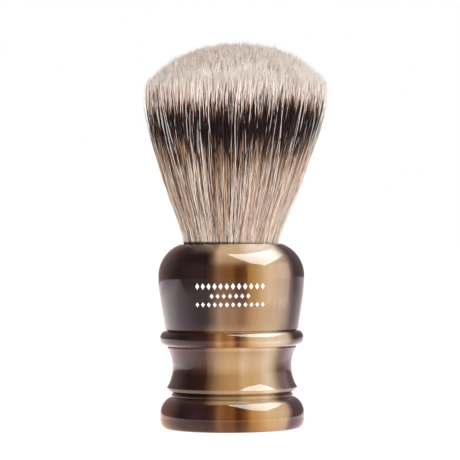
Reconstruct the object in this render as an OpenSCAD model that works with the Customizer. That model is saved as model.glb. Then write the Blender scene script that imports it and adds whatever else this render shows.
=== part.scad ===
// Shaving brush: a turned horn-effect resin handle with a hand-tied badger
// knot set in a blind socket. Millimetres, +Z up, origin at the centre of the
// handle's flat base. The handle is one turning: foot, flange, cove, ring and
// head. The knot is a bundle of hair tied with cord, its root ends cast in a
// resin plug, and the plug bedded in adhesive at the bottom of the socket.
// The free hair flexes sideways about the rim of the handle.

/* [Handle] */
// Height of the handle from the base to the rim
handle_h = 49.5; // [49:0.1:51]
// Largest diameter of the head
head_d = 39.4; // [38.8:0.1:41]
// Height of the head's widest point
head_z = 41; // [40:0.1:41.5]
// Radius of the head's shoulder
shoulder_r = 9; // [8.9:0.05:9.3]
// Lean of the head's lower wall from vertical, in degrees
wall_lean = 8.9; // [8:0.1:10]
// Radius that blends the leaning wall into the widest point
wall_r = 38; // [34:1:42]
// Diameter of the ring bead
ring_d = 38.7; // [38.2:0.1:39.4]
// Height of the middle of the ring bead
ring_z = 24.45; // [24.3:0.05:24.6]
// Section radius of the ring bead
ring_r = 2; // [1.9:0.05:2.1]
// Diameter at the narrowest point of the cove
cove_d = 32.1; // [31.5:0.1:32.6]
// Height of the narrowest point of the cove
cove_z = 16.7; // [16.2:0.1:17.2]
// Section radius of the cove above its narrowest point
cove_up_r = 9.8; // [9.6:0.1:11]
// Section radius of the cove below its narrowest point
cove_down_r = 12.3; // [12:0.1:14]

/* [Foot] */
// Diameter of the foot at its widest point
foot_d = 39.2; // [38.6:0.1:40]
// Height of the foot's widest point
foot_z = 3.2; // [3:0.05:3.4]
// Diameter of the flat face the brush stands on
base_d = 36; // [35:0.1:37]
// Height of the upper curve of the foot above its widest point
foot_up = 5.25; // [5.1:0.05:5.3]
// Section radius of the small bead on top of the foot
bead_r = 0.55; // [0.5:0.01:0.56]

/* [Socket and knot] */
// Diameter of the socket bored in the handle
socket_d = 25.8; // [25.4:0.1:26.2]
// Depth of the socket below the rim
socket_depth = 20; // [19.8:0.1:21]
// Chamfer round the mouth of the socket
socket_chamfer = 0.3; // [0.1:0.05:0.5]
// Diameter of the hair where it leaves the handle
neck_d = 25.5; // [25:0.05:25.6]
// Free height of the hair above the rim
loft = 54.6; // [52:0.1:58]
// Diameter of the open knot at its widest point
bloom_d = 49.1; // [46:0.1:51]
// Height of the widest point above the rim
bloom_up = 40; // [38:0.5:41]

/* [Knot fixing] */
// Diameter of the resin plug cast round the hair roots
plug_d = 23.4; // [23.2:0.05:23.5]
// Height of the resin plug
plug_h = 9; // [8.6:0.1:9.4]
// Wall of the resin plug outside the hair
plug_wall = 0.8; // [0.7:0.05:0.9]
// Thickness of the resin under the hair ends
plug_floor = 2; // [1.8:0.1:2.4]
// Thickness of the adhesive bed under the plug
bed_t = 1.2; // [0.8:0.1:1.4]
// Height of the adhesive collar round the plug
bed_h = 12; // [11:0.1:12.5]
// Diameter of the binding cord
cord_d = 0.84; // [0.7:0.02:0.9]
// Turns of binding cord
cord_turns = 5; // [4:1:5]
// Diameter of the hair inside the binding
waist_d = 21.2; // [20.8:0.1:21.4]

/* [Flexing] */
// Radius of the ball-shaped parting between the held hair and the free hair
part_r = 18; // [17:0.25:19]
// Gap at the parting
part_gap = 0.25; // [0.2:0.05:0.4]

/* [Hidden] */
$fn = 96;
seat_gap = 0.02;            // clearance between pieces that are bonded together
overcut = 1;                // extra height of a cutter past an open end

// Points along an elliptical arc in [radius, z], numbered from first to steps
function ellipse_arc(mid_r, mid_z, half_r, half_z, from, to, steps, first = 0) = [
    for (i = [first:steps]) let (angle = from + (to - from) * i / steps)
    [mid_r + half_r * cos(angle), mid_z + half_z * sin(angle)]
];
function arc(mid_r, mid_z, r, from, to, steps, first = 0) =
    ellipse_arc(mid_r, mid_z, r, r, from, to, steps, first);
function last(points) = points[len(points) - 1];
// Point on a cubic curve through four control points, t from 0 to 1
function cubic(points, t) = pow(1 - t, 3) * points[0] + 3 * t * pow(1 - t, 2) * points[1]
    + 3 * t * t * (1 - t) * points[2] + pow(t, 3) * points[3];

// Handle outline, built upwards from the base as [radius, z] points

// Foot: round the bottom edge, then over the top to the small bead
foot_r = foot_d / 2;
base_r = base_d / 2;
foot_top_w = 4;             // radial half-axis of the foot's upper curve
foot_top_angle = 78.5;
foot_low = ellipse_arc(base_r, foot_z, foot_r - base_r, foot_z, -90, 0, 14);
foot_high = ellipse_arc(foot_r - foot_top_w, foot_z, foot_top_w, foot_up,
    0, foot_top_angle, 18, first = 1);
foot_end = last(foot_high);
bead_inset = 0.4;           // bead centre inside the end of the foot curve
bead = arc(foot_end[0] - bead_inset, foot_end[1] + bead_r, bead_r, -60, 70, 10);

// Cove: two arcs that meet at its narrowest point
cove_r = cove_d / 2;
cove_down_h = 5.8;          // from the narrowest point to the flange's sharp edge
cove_up_h = 5;              // from the narrowest point to the step under the ring
// Point on the cove, at a height above (+) or below (-) its narrowest point
function cove_point(section_r, up) =
    [cove_r + section_r * (1 - cos(asin(up / section_r))), cove_z + up];
cove_low = [for (i = [0:16]) cove_point(cove_down_r, -cove_down_h * (1 - i / 16))];
cove_high = [for (i = [1:14]) cove_point(cove_up_r, cove_up_h * i / 14)];

// Flange: a nick above the bead, then the underside out to the sharp edge
flange_z = cove_z - cove_down_h;
flange = [
    last(bead) + [-0.28, 0.08],
    [cove_r + 1.22, flange_z - 0.42],
    [cove_r + 1.40, flange_z - 0.22]
];

// Ring bead, with a nick below it and a groove above
ring_mid_r = ring_d / 2 - ring_r;
ring_nick = [ring_mid_r - 0.35, cove_z + cove_up_h + 0.5];
ring = arc(ring_mid_r, ring_z, ring_r, -100, 53, 26);
groove = last(ring) + [-1.15, 0.33];

// Head: leaning wall, blend to the widest point, shoulder and lip
head_r = head_d / 2;
wall_top_r = head_r - wall_r * (1 - cos(wall_lean));
wall_top_z = head_z - wall_r * sin(wall_lean);
wall_bottom_z = last(ring)[1] + 0.75;
wall_bottom = [wall_top_r - (wall_top_z - wall_bottom_z) * tan(wall_lean), wall_bottom_z];
wall = concat([wall_bottom - [0.12, 0.18], wall_bottom],
    arc(head_r - wall_r, head_z, wall_r, -wall_lean, 0, 8));
lip_h = 0.06;               // rise from the end of the shoulder to the rim
lip_w = 0.75;
shoulder_angle = asin(min(0.999, (handle_h - lip_h - head_z) / shoulder_r));
shoulder = arc(head_r - shoulder_r, head_z, shoulder_r, 0, shoulder_angle, 24, first = 1);
lip = [last(shoulder)[0] - lip_w, handle_h];

handle_profile = concat([[0, 0]], foot_low, foot_high, bead, flange, cove_low, cove_high,
    [ring_nick], ring, [groove], wall, shoulder, [lip], [[0, handle_h]]);

// Socket, plug and binding, from the socket floor up
socket_r = socket_d / 2;
socket_z = handle_h - socket_depth;
plug_r = plug_d / 2;
plug_z = socket_z + bed_t + 2 * seat_gap;
bind_z = plug_z + plug_h + 0.3;
cord_pitch = cord_d * 0.92; // turns are pressed slightly into each other
bind_h = cord_pitch * (cord_turns - 1) + cord_d;
band_trim = 0.05;           // band behind the turns stops short at each end

// Hair held in the socket, as [radius, z] points
root_z = plug_z + plug_floor + seat_gap;
root_r = plug_r - plug_wall - seat_gap;
waist_r = waist_d / 2;
neck_r = neck_d / 2;
bind_top = bind_z + bind_h;
root_side = [
    [0, root_z],
    [root_r, root_z],
    [root_r, bind_z - 0.15],
    [waist_r, bind_z - 0.1],
    [waist_r, bind_top + 0.1],
    [neck_r - 0.9, bind_top + 0.8]
];
root_clip = 0.85;           // clip radius below the rim, as a share of part_r

// Hair above the rim: flaring side, then the dome of the tips
loft_z = handle_h + loft;
bloom_z = handle_h + bloom_up;
bloom_r = bloom_d / 2;
// Control points of the flare, from the rim to the widest point
flare = [
    [neck_r, handle_h],
    [neck_r + 1.75, handle_h + 9.2],
    [bloom_r - 0.6, handle_h + 25],
    [bloom_r, bloom_z]
];
hair_side = [for (i = [0:28]) cubic(flare, i / 28)];
dome_power = 0.54;          // 0.5 is a true ellipse, more is pointed
dome = [for (i = [1:23]) let (rise = sin(90 * i / 24))
    [bloom_r * pow(1 - pow(rise, 2), dome_power), bloom_z + (loft_z - bloom_z) * rise]];

// One turning from a horn-effect rod, bored for the knot
module handle() {
    color([0.42, 0.27, 0.16])
    difference() {
        rotate_extrude() polygon(handle_profile);
        translate([0, 0, socket_z]) cylinder(r = socket_r, h = socket_depth + overcut);
        translate([0, 0, handle_h - socket_chamfer])
            cylinder(r1 = socket_r, r2 = socket_r + socket_chamfer * 2, h = socket_chamfer * 2);
    }
}

// Set adhesive: a bed under the plug and a collar up the socket wall
module socket_adhesive() {
    color([0.78, 0.72, 0.55])
    difference() {
        translate([0, 0, socket_z + seat_gap]) cylinder(r = socket_r - seat_gap, h = bed_h);
        translate([0, 0, plug_z - seat_gap]) cylinder(r = plug_r + seat_gap, h = bed_h + overcut);
    }
}

// Resin cast round the root ends of the hair, a shallow cup
module resin_plug() {
    color([0.55, 0.35, 0.12])
    difference() {
        translate([0, 0, plug_z]) cylinder(r = plug_r, h = plug_h);
        translate([0, 0, plug_z + plug_floor]) cylinder(r = plug_r - plug_wall, h = plug_h);
    }
}

// Cord wound round the hair above the plug: ring turns joined by a thin band
module binding_cord() {
    color([0.86, 0.82, 0.7])
    translate([0, 0, bind_z + cord_d / 2])
    rotate_extrude()
    union() {
        translate([waist_r + seat_gap, -cord_d / 2 + band_trim])
            square([cord_d / 2, bind_h - 2 * band_trim]);
        for (i = [0:cord_turns - 1])
            translate([waist_r + seat_gap + cord_d / 2, i * cord_pitch])
                circle(d = cord_d);
    }
}

// Hair held by the plug, the binding and the socket, up to the parting
module hair_roots() {
    color([0.74, 0.64, 0.55])
    intersection() {
        rotate_extrude() polygon(concat(root_side, hair_side, [[0, bloom_z]]));
        translate([0, 0, handle_h]) union() {
            sphere(r = part_r);
            translate([0, 0, -socket_depth]) cylinder(r = part_r * root_clip, h = socket_depth);
        }
    }
}

// Free hair above the parting: the flaring sides and the domed tips
module hair_loft() {
    color([0.88, 0.83, 0.76])
    difference() {
        rotate_extrude() polygon(concat([[0, handle_h]], hair_side, dome, [[0, loft_z]]));
        translate([0, 0, handle_h]) sphere(r = part_r + part_gap);
    }
}

handle();
socket_adhesive();
resin_plug();
binding_cord();
hair_roots();
hair_loft();
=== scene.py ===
import math

import bpy
import numpy as np
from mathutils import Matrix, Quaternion, Vector


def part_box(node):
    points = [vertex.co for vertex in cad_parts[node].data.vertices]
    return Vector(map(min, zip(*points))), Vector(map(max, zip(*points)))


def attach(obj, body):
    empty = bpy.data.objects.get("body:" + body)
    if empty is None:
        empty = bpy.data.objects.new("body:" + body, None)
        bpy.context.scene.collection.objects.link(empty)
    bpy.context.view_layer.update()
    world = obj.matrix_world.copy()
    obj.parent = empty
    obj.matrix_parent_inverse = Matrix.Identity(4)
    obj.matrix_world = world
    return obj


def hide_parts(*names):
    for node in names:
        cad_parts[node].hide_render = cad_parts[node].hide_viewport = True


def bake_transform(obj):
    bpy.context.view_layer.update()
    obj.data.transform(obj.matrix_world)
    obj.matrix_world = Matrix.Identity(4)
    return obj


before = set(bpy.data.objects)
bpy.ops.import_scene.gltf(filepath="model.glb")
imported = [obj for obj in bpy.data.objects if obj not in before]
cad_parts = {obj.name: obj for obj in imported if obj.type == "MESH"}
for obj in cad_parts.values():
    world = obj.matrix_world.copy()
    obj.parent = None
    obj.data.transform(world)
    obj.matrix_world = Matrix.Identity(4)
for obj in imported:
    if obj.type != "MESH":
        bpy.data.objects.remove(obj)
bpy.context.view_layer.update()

MM = 0.001
RNG = np.random.default_rng(7141)
DEG = math.pi / 180

# Places taken from the frame, in millimetres
HANDLE_LO, HANDLE_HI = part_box("handle")
ROOTS_LO, ROOTS_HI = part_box("hair_roots")
LOFT_LO, LOFT_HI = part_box("hair_loft")
RIM_Z = HANDLE_HI.z / MM
TOP_Z = LOFT_HI.z / MM
BLOOM_R = LOFT_HI.x / MM
HEAD_R = HANDLE_HI.x / MM


# ---------------------------------------------------------------- helpers
def link(obj):
    bpy.context.scene.collection.objects.link(obj)
    return obj


def mesh_from(name, verts, faces_tri=None, loops=None, starts=None):
    """A mesh from numpy arrays: verts in metres, and either triangles or loops with face starts."""
    me = bpy.data.meshes.new(name)
    verts = np.asarray(verts, np.float32)
    me.vertices.add(len(verts))
    me.vertices.foreach_set("co", verts.ravel())
    if faces_tri is not None:
        loops = np.asarray(faces_tri, np.int32).ravel()
        starts = np.arange(0, len(loops), 3, dtype=np.int32)
    me.loops.add(len(loops))
    me.loops.foreach_set("vertex_index", np.asarray(loops, np.int32))
    me.polygons.add(len(starts))
    me.polygons.foreach_set("loop_start", np.asarray(starts, np.int32))
    me.polygons.foreach_set("use_smooth", np.ones(len(starts), bool))
    me.update(calc_edges=True)
    return me


def smooth(a, b, x):
    t = np.clip((x - a) / (b - a), 0, 1)
    return t * t * (3 - 2 * t)


class Nodes:
    """Short names for the nodes a procedural material is made of."""

    def __init__(self, name):
        self.mat = bpy.data.materials.new(name)
        self.mat.use_nodes = True
        self.tree = self.mat.node_tree
        self.tree.nodes.clear()
        self.out = self.tree.nodes.new("ShaderNodeOutputMaterial")

    def new(self, kind, **props):
        n = self.tree.nodes.new(kind)
        for k, v in props.items():
            setattr(n, k, v)
        return n

    def put(self, socket, value):
        if isinstance(value, bpy.types.NodeSocket):
            self.tree.links.new(value, socket)
        elif isinstance(value, (tuple, list)) and len(value) == 3 and socket.type == "RGBA":
            socket.default_value = (*value, 1.0)
        else:
            socket.default_value = value

    def math(self, op, a, b=0.0, c=0.0, clamp=False):
        n = self.new("ShaderNodeMath", operation=op, use_clamp=clamp)
        for i, v in enumerate((a, b, c)):
            if i < len(n.inputs):
                self.put(n.inputs[i], v)
        return n.outputs[0]

    def step(self, lo, hi, x):
        n = self.new("ShaderNodeMapRange", interpolation_type="SMOOTHSTEP", clamp=True)
        self.put(n.inputs["Value"], x)
        self.put(n.inputs["From Min"], lo)
        self.put(n.inputs["From Max"], hi)
        return n.outputs["Result"]

    def mix(self, f, a, b, mode="MIX"):
        n = self.new("ShaderNodeMix", data_type="RGBA", blend_type=mode, clamp_factor=True)
        self.put(n.inputs[0], f)
        self.put(n.inputs[6], a)
        self.put(n.inputs[7], b)
        return n.outputs[2]

    def ramp(self, x, stops, mode="LINEAR"):
        n = self.new("ShaderNodeValToRGB")
        cr = n.color_ramp
        cr.interpolation = mode
        while len(cr.elements) < len(stops):
            cr.elements.new(0.5)
        for e, (p, col) in zip(cr.elements, sorted(stops, key=lambda s: s[0])):
            e.position = p
            e.color = (*col, 1.0)
        self.put(n.inputs[0], x)
        return n.outputs[0]

    def noise(self, vector=None, scale=5.0, detail=2.0, rough=0.5, dims="3D", w=None, colour=False):
        n = self.new("ShaderNodeTexNoise", noise_dimensions=dims)
        if vector is not None:
            self.put(n.inputs["Vector"], vector)
        if w is not None:
            self.put(n.inputs["W"], w)
        n.inputs["Scale"].default_value = scale
        n.inputs["Detail"].default_value = detail
        n.inputs["Roughness"].default_value = rough
        return n.outputs[1 if colour else 0]

    def random(self, w):
        n = self.new("ShaderNodeTexWhiteNoise", noise_dimensions="1D")
        self.put(n.inputs["W"], w)
        return n.outputs["Value"]

    def surface(self, colour, rough, **more):
        p = self.new("ShaderNodeBsdfPrincipled")
        self.put(p.inputs["Base Color"], colour)
        self.put(p.inputs["Roughness"], rough)
        for k, v in more.items():
            self.put(p.inputs[k.replace("_", " ")], v)
        self.tree.links.new(p.outputs[0], self.out.inputs["Surface"])
        return p

    def bump(self, height, strength, distance):
        n = self.new("ShaderNodeBump")
        n.inputs["Strength"].default_value = strength
        n.inputs["Distance"].default_value = distance
        self.put(n.inputs["Height"], height)
        return n.outputs[0]


def lin(r, g, b, k=1.0):
    """sRGB 0..255 to linear, times k."""
    def f(c):
        c /= 255.0
        return c / 12.92 if c <= 0.04045 else ((c + 0.055) / 1.055) ** 2.4
    return (f(r) * k, f(g) * k, f(b) * k)


# ---------------------------------------------------------------- handle
def earc(cr, cz, a, b, t0, t1, n):
    t = np.linspace(t0, t1, n + 1) * DEG
    return np.stack([cr + a * np.cos(t), cz + b * np.sin(t)], 1)


def handle_profile():
    """Outer section of the turning, from the centre of the base out, up and in to the rim, then down the socket."""
    parts = [np.array([[0.0, 0.0]])]
    parts.append(earc(18, 3.2, 1.6, 3.2, -90, 0, 40))
    foot = earc(15.6, 3.2, 4, 5.25, 0, 78.5, 50)
    parts.append(foot[1:])
    fr, fz = foot[-1]
    bead = earc(fr - 0.5, fz + 0.5, 0.5, 0.5, -60, 70, 24)
    parts.append(bead)
    br, bz = bead[-1]
    parts.append(np.array([[br - 0.2, bz + 0.06], [17.12, 10.08]]))
    parts.append(earc(17.12, 10.26, 0.18, 0.18, -90, -24, 8))
    parts.append(np.array([[17.5, 10.76]]))
    h = 5.8 * (1 - np.linspace(0, 1, 40))
    parts.append(np.stack([16.05 + 12.3 * (1 - np.cos(np.arcsin(h / 12.3))) + 0.035 * np.maximum(0, h - 3.8) ** 2, 16.7 - h], 1))
    h = 5.0 * np.linspace(0, 1, 40)[1:]
    parts.append(np.stack([16.05 + 9.8 * (1 - np.cos(np.arcsin(h / 9.8))), 16.7 + h], 1))
    parts.append(np.array([[17.33, 21.94]]))
    ring = earc(17.3, 24.25, 2.06, 2.1, -90, 55, 60)
    parts.append(ring)
    rr, rz = ring[-1]
    parts.append(np.array([[rr - 1.15, rz + 0.33]]))
    lean = 8.9 * DEG
    wt = np.array([19.7 - 38 * (1 - math.cos(lean)), 41 - 38 * math.sin(lean)])
    wb = np.array([wt[0] - (wt[1] - rz - 0.75) * math.tan(lean), rz + 0.75])
    parts.append(np.array([wb + [-0.12, -0.18], wb]))
    parts.append(earc(19.7 - 38, 41, 38, 38, -8.9, 0, 30))
    end = math.asin((49.44 - 41) / 9) / DEG
    parts.append(earc(10.7, 41, 9, 9, 0, end, 70)[1:])
    lip = parts[-1][-1]
    parts.append(np.array([[lip[0] - 0.6, 49.5], [13.2, 49.5], [12.9, 49.2], [12.9, 29.5], [0, 29.5]]))
    return np.concatenate(parts)


def resample(p, step):
    d = np.r_[0, np.cumsum(np.linalg.norm(np.diff(p, axis=0), axis=1))]
    keep = np.r_[True, np.diff(d) > 1e-9]
    p, d = p[keep], d[keep]
    n = int(d[-1] / step)
    s = np.linspace(0, d[-1], n + 1)
    return np.stack([np.interp(s, d, p[:, 0]), np.interp(s, d, p[:, 1])], 1)


def soften(p, sigma, step):
    """Rounds the sharp corners of a section a little, as polishing does."""
    half = int(4 * sigma / step)
    k = np.exp(-0.5 * (np.arange(-half, half + 1) * step / sigma) ** 2)
    k /= k.sum()
    head = 2 * p[0] - p[half:0:-1]
    tail = 2 * p[-1] - p[-2:-half - 2:-1]
    q = np.concatenate([head, p, tail])
    return np.stack([np.convolve(q[:, i], k, "valid") for i in (0, 1)], 1)


def thin(p, nrm, turn_deg, longest):
    """Indices of the points to keep: a new ring wherever the section has turned enough."""
    keep, last = [0], 0
    d = np.r_[0, np.cumsum(np.linalg.norm(np.diff(p, axis=0), axis=1))]
    for i in range(1, len(p) - 1):
        ang = math.degrees(math.acos(max(-1, min(1, float(nrm[i] @ nrm[last])))))
        if ang >= turn_deg or d[i] - d[last] >= longest:
            keep.append(i)
            last = i
    keep.append(len(p) - 1)
    return np.array(keep)


def lathe(name, section, normals, seg):
    """A closed turning with its own shading normals and an unrolled UV."""
    n = len(section)
    ang = np.arange(seg) * 2 * math.pi / seg
    ca, sa = np.cos(ang), np.sin(ang)
    inner = section[1:-1]
    v = np.stack([inner[:, None, 0] * ca, inner[:, None, 0] * sa, np.repeat(inner[:, None, 1], seg, 1)], 2)
    verts = np.concatenate([[[0, 0, section[0, 1]]], v.reshape(-1, 3), [[0, 0, section[-1, 1]]]]) * MM
    m = n - 2
    d = np.r_[0, np.cumsum(np.linalg.norm(np.diff(section, axis=0), axis=1))]
    vv = d / d[-1]
    i = np.repeat(np.arange(m - 1), seg)
    j = np.tile(np.arange(seg), m - 1)
    j2 = (j + 1) % seg
    a, b, c, e = 1 + i * seg + j, 1 + i * seg + j2, 1 + (i + 1) * seg + j2, 1 + (i + 1) * seg + j
    quads = np.stack([a, b, c, e], 1)
    js = np.arange(seg)
    bottom = np.stack([np.zeros(seg, int), 1 + (js + 1) % seg, 1 + js], 1)
    top_base = 1 + (m - 1) * seg
    top = np.stack([np.full(seg, 1 + m * seg), top_base + js, top_base + (js + 1) % seg], 1)
    loops = np.concatenate([quads.ravel(), bottom.ravel(), top.ravel()])
    starts = np.concatenate([np.arange(len(quads)) * 4, len(quads) * 4 + np.arange(2 * seg) * 3])
    me = mesh_from(name, verts, loops=loops, starts=starts)
    uq = np.stack([j, j + 1, j + 1, j], 1) / seg
    vq = np.stack([vv[i + 1], vv[i + 1], vv[i + 2], vv[i + 2]], 1)
    ub = np.stack([js + 0.5, js + 1, js], 1) / seg
    vb = np.stack([np.full(seg, vv[0]), np.full(seg, vv[1]), np.full(seg, vv[1])], 1)
    ut = np.stack([js + 0.5, js, js + 1], 1) / seg
    vt = np.stack([np.full(seg, vv[-1]), np.full(seg, vv[-2]), np.full(seg, vv[-2])], 1)
    uv = np.stack([np.concatenate([uq.ravel(), ub.ravel(), ut.ravel()]),
                   np.concatenate([vq.ravel(), vb.ravel(), vt.ravel()])], 1)
    layer = me.uv_layers.new(name="OFBake")
    layer.data.foreach_set("uv", uv.astype(np.float32).ravel())
    nn = normals[1:-1]
    nv = np.stack([nn[:, None, 0] * ca, nn[:, None, 0] * sa, np.repeat(nn[:, None, 1], seg, 1)], 2).reshape(-1, 3)
    nv = np.concatenate([[[0, 0, -1.0]], nv, [[0, 0, 1.0]]])
    me.normals_split_custom_set(nv[loops].tolist())
    return me


def build_handle():
    step = 0.02
    fine = soften(resample(handle_profile(), step), 0.055, step)
    fine[:, 0] = np.maximum(fine[:, 0], 0)
    fine[0, 0] = fine[-1, 0] = 0
    fine[:, 1] = np.maximum(fine[:, 1], 0)
    t = np.gradient(fine, axis=0)
    t /= np.linalg.norm(t, axis=1)[:, None]
    nrm = np.stack([t[:, 1], -t[:, 0]], 1)
    keep = thin(fine, nrm, 4.0, 1.6)
    obj = link(bpy.data.objects.new("turned_handle", lathe("turned_handle", fine[keep], nrm[keep], 288)))
    return obj, fine, nrm


HORN = 1.0


def horn_material():
    """Cast horn-effect resin: wide upright streaks that wander, fine striations, a hard polish with faint wear."""
    m = Nodes("horn_resin")
    geo = m.new("ShaderNodeTexCoord").outputs["Object"]
    sep = m.new("ShaderNodeSeparateXYZ")
    m.put(sep.inputs[0], geo)
    x, y, z = sep.outputs
    fx = m.math("MULTIPLY", x, 1000)
    fy = m.math("MULTIPLY", y, 1000)
    fz = m.math("MULTIPLY", z, 1000)
    radius = m.math("SQRT", m.math("ADD", m.math("MULTIPLY", fx, fx), m.math("MULTIPLY", fy, fy)))
    phi = m.math("MULTIPLY", m.math("ARCTAN2", fx, m.math("MULTIPLY", fy, -1.0)), 1 / DEG)
    # slow wander of the streaks along the rod
    stretched = m.new("ShaderNodeCombineXYZ")
    for i, (s, k) in enumerate(((fx, 0.055), (fy, 0.055), (fz, 0.022))):
        m.put(stretched.inputs[i], m.math("MULTIPLY", s, k))
    wander = m.math("SUBTRACT", m.noise(stretched.outputs[0], 1.0, 2.0), 0.5)
    # fine upright striations
    fine_v = m.new("ShaderNodeCombineXYZ")
    for i, (s, k) in enumerate(((fx, 1.15), (fy, 1.15), (fz, 0.035))):
        m.put(fine_v.inputs[i], m.math("MULTIPLY", s, k))
    fine = m.math("SUBTRACT", m.noise(fine_v.outputs[0], 1.0, 4.0, 0.62), 0.5)
    # deeper in the rod the dark side pulls back from the front
    deep = m.math("MAXIMUM", m.math("SUBTRACT", 18.9, radius), 0.0)
    pull = m.math("MINIMUM", m.math("MULTIPLY", m.math("MULTIPLY", deep, deep), 0.72), 30.0)
    pull = m.math("MULTIPLY", pull, m.math("MULTIPLY", m.step(8.0, -12.0, phi), m.step(95.0, 70.0, m.math("ABSOLUTE", phi))))
    pull = m.math("MULTIPLY", pull, m.step(43.0, 46.0, fz))
    p = m.math("ADD", phi, pull)
    toe_edge = m.math("MULTIPLY", m.math("MULTIPLY", m.step(5.5, 2.0, fz), m.step(40.0, 50.0, phi)), m.step(75.0, 64.0, phi))
    p = m.math("ADD", p, m.math("MULTIPLY", toe_edge, 4.0))
    p = m.math("ADD", p, m.math("MULTIPLY", wander, 1.5))
    p = m.math("ADD", p, m.math("MULTIPLY", fine, 2.2))
    pos = m.math("FRACT", m.math("ADD", m.math("DIVIDE", p, 360.0), 0.5))

    def at(deg):
        return ((deg / 360.0) + 0.5) % 1.0

    def stops(rows):
        return [(at(deg), tuple(c * HORN for c in col)) for deg, col in rows]

    night, soot, umber = (0.014, 0.008, 0.009), (0.023, 0.012, 0.011), (0.05, 0.021, 0.010)
    tan, amber, streak, honey = (0.30, 0.15, 0.045), (0.14, 0.053, 0.014), (0.06, 0.016, 0.003), (0.40, 0.23, 0.10)
    cream, shell = (0.51, 0.36, 0.21), (0.56, 0.43, 0.28)
    back = [(-180, cream), (-168, honey), (-158, umber), (-146, night), (-122, soot), (-108, tan), (-100, umber), (-90, soot)]
    back_right = [(96, night), (108, umber), (118, tan), (130, cream), (144, honey), (154, streak), (168, tan)]
    upper = back + [(-45, (0.013, 0.008, 0.009)), (-30, (0.019, 0.011, 0.011)), (-20, (0.019, 0.010, 0.009)), (-15, (0.043, 0.020, 0.011)),
                    (-10.5, (0.125, 0.062, 0.030)), (-6, (0.120, 0.054, 0.019)), (0, (0.120, 0.050, 0.014)), (4.5, (0.056, 0.017, 0.005)),
                    (10.8, (0.078, 0.028, 0.007)), (15, (0.26, 0.13, 0.035)), (20, (0.32, 0.18, 0.062)), (30, (0.49, 0.35, 0.207)),
                    (44, (0.46, 0.347, 0.238)), (50, (0.395, 0.29, 0.218)), (53.5, (0.155, 0.103, 0.086)), (57, (0.055, 0.032, 0.031)),
                    (60, (0.030, 0.017, 0.018))] + back_right
    foot = back + [(-60, (0.06, 0.020, 0.017)), (-45, (0.013, 0.007, 0.009)), (-30, (0.025, 0.011, 0.011)), (-20, (0.021, 0.009, 0.008)),
                   (-15, (0.050, 0.018, 0.009)), (-10.5, (0.158, 0.068, 0.026)), (-6, (0.128, 0.048, 0.013)), (0, (0.133, 0.045, 0.010)),
                   (4.5, (0.044, 0.009, 0.002)), (10.8, (0.126, 0.043, 0.009)), (15, (0.30, 0.146, 0.042)), (20, (0.377, 0.21, 0.072)),
                   (30, (0.497, 0.336, 0.168)), (44, (0.485, 0.342, 0.20)), (50, (0.42, 0.285, 0.188)), (53.5, (0.20, 0.122, 0.086)),
                   (57.5, (0.055, 0.030, 0.028))] + back_right
    lower = back + [(-45, (0.014, 0.007, 0.010)), (-20, (0.012, 0.006, 0.006)), (-15, (0.082, 0.041, 0.024)), (-10, (0.19, 0.115, 0.06)),
                    (-3, (0.173, 0.086, 0.032)), (2, (0.186, 0.093, 0.033)), (4, (0.17, 0.08, 0.025)), (6, (0.15, 0.064, 0.014)),
                    (10, (0.164, 0.068, 0.011)), (16, (0.29, 0.16, 0.062)), (22, (0.367, 0.227, 0.11)), (28, (0.40, 0.268, 0.137)),
                    (40, (0.39, 0.281, 0.165)), (46, (0.32, 0.23, 0.15)), (52, (0.215, 0.15, 0.114)), (55, (0.13, 0.086, 0.072)),
                    (58.5, (0.036, 0.018, 0.018))] + back_right
    # painted light: the ring's colours are a paler copy of the head's, for the light on its upper face
    bead = back + [(-45, (0.010, 0.006, 0.006)), (-30, (0.021, 0.009, 0.007)), (-20, (0.026, 0.010, 0.008)), (-15, (0.09, 0.037, 0.014)),
                   (-10.5, (0.245, 0.129, 0.055)), (-6, (0.16, 0.068, 0.016)), (0, (0.213, 0.093, 0.023)), (4.5, (0.045, 0.009, 0.002)),
                   (10.8, (0.215, 0.103, 0.03)), (15, (0.38, 0.243, 0.113)), (20, (0.44, 0.32, 0.184)), (30, (0.543, 0.43, 0.283)),
                   (44, (0.515, 0.412, 0.30)), (50, (0.46, 0.352, 0.27)), (53.5, (0.26, 0.175, 0.127)), (57, (0.085, 0.045, 0.032)),
                   (60, (0.03, 0.010, 0.008))] + back_right
    cove = back + [(-60, (0.045, 0.024, 0.022)), (-45, (0.030, 0.014, 0.011)), (-25.5, (0.048, 0.018, 0.011)), (-20, (0.17, 0.09, 0.047)),
                   (-12, (0.325, 0.205, 0.098)), (-5, (0.37, 0.235, 0.107)), (5, (0.372, 0.236, 0.107)), (10.5, (0.463, 0.324, 0.194)),
                   (17, (0.425, 0.285, 0.147)), (24, (0.44, 0.30, 0.162)), (34, (0.513, 0.41, 0.284)), (40, (0.42, 0.32, 0.208)),
                   (45, (0.255, 0.16, 0.086)), (49, (0.115, 0.058, 0.034)), (55, (0.078, 0.032, 0.021)), (60, (0.11, 0.06, 0.048)),
                   (68, (0.08, 0.045, 0.036))] + back_right
    # the narrow dark streaks are shallow: they run out where the wall is turned down
    rw = m.math("ADD", radius, m.math("MULTIPLY", m.math("ADD", wander, fine), 0.5))
    colour = m.mix(m.step(19.25, 18.75, rw), m.ramp(pos, stops(upper)), m.ramp(pos, stops(lower)))
    colour = m.mix(m.step(9.2, 8.6, fz), colour, m.ramp(pos, stops(foot)))
    # painted light: the ring takes the paler copy of the head's colours
    colour = m.mix(m.math("MULTIPLY", m.step(22.15, 22.35, fz), m.step(26.45, 26.3, fz)), colour, m.ramp(pos, stops(bead)))
    colour = m.mix(m.math("MULTIPLY", m.step(18.35, 17.5, rw), m.step(30.0, 28.0, fz)), colour, m.ramp(pos, stops(cove)))
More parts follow.
